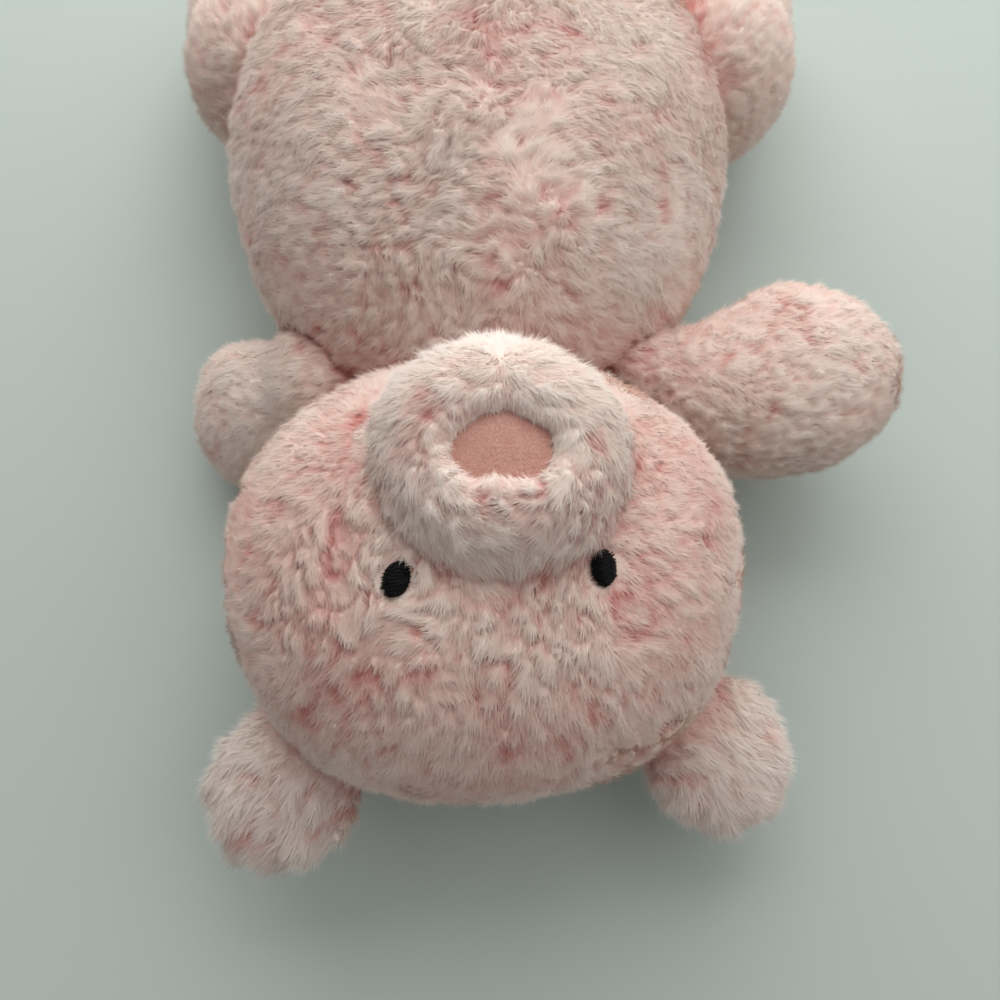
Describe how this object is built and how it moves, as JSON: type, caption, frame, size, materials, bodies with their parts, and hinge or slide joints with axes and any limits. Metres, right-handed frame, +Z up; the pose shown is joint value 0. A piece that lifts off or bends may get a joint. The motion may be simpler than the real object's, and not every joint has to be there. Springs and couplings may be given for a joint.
{
  "type": "plush bear",
  "caption": "Soft pink plush bear lying on its back, with a broad padded head, a raised pale muzzle, round flat ears, stubby limbs and a weighted seat.",
  "frame": {"origin": "on the table, under the middle of the bear's outer box", "axes": "+Z up from the table through the belly, +Y from the head to the feet, +X to the bear's own right, which is the right of someone who looks down at it from its head"},
  "size_m": [0.2662, 0.3858, 0.1287],
  "materials": {
    "plush": "short dense pile, pale pink at the tips and deeper pink at the root",
    "pale_plush": "short dense pile, nearly white",
    "felt": "matt pressed felt",
    "thread": "satin-stitched thread",
    "fibre": "loose fibre filling",
    "lining": "plain woven cloth"
  },
  "bodies": {
    "body": {"body_front_left": "plush", "body_front_right": "plush", "body_back_left": "plush", "body_back_right": "plush", "body_filling": "fibre", "pellet_bag": "lining"},
    "head": {"head_back": "plush", "head_filling": "fibre", "face_left": "plush", "face_right": "plush", "muzzle_cover": "pale_plush", "muzzle_filling": "fibre", "nose_patch": "felt", "eye_left": "thread", "ear_left_front": "plush", "ear_left_back": "plush", "eye_right": "thread", "ear_right_front": "plush", "ear_right_back": "plush"},
    "arm_left": {"arm_left_upper": "plush", "arm_left_lower": "plush", "arm_left_filling": "fibre"},
    "arm_right": {"arm_right_upper": "plush", "arm_right_lower": "plush", "arm_right_filling": "fibre"},
    "leg_left": {"leg_left_upper": "plush", "leg_left_lower": "plush", "leg_left_filling": "fibre", "sole_left": "plush"},
    "leg_right": {"leg_right_upper": "plush", "leg_right_lower": "plush", "leg_right_filling": "fibre", "sole_right": "plush"}
  },
  "joints": [
    {"name": "head_nod", "type": "hinge", "parent": "body", "child": "head", "pos_m": [-0.01114, -0.04278, 0.05], "axis": [-1, 0, 0], "range_deg": [0, 14]},
    {"name": "arm_left_swing", "type": "hinge", "parent": "body", "child": "arm_left", "pos_m": [-0.06214, -0.03478, 0.046], "axis": [0, 0, 1], "range_deg": [-44, 12]},
    {"name": "arm_right_swing", "type": "hinge", "parent": "body", "child": "arm_right", "pos_m": [0.04186, -0.03478, 0.046], "axis": [0, 0, -1], "range_deg": [-34, 12]},
    {"name": "leg_left_fold", "type": "hinge", "parent": "body", "child": "leg_left", "pos_m": [-0.08814, 0.09622, 0.052], "axis": [1, 0, 0], "range_deg": [0, 46]},
    {"name": "leg_right_fold", "type": "hinge", "parent": "body", "child": "leg_right", "pos_m": [0.07586, 0.09622, 0.052], "axis": [1, 0, 0], "range_deg": [0, 46]}
  ]
}
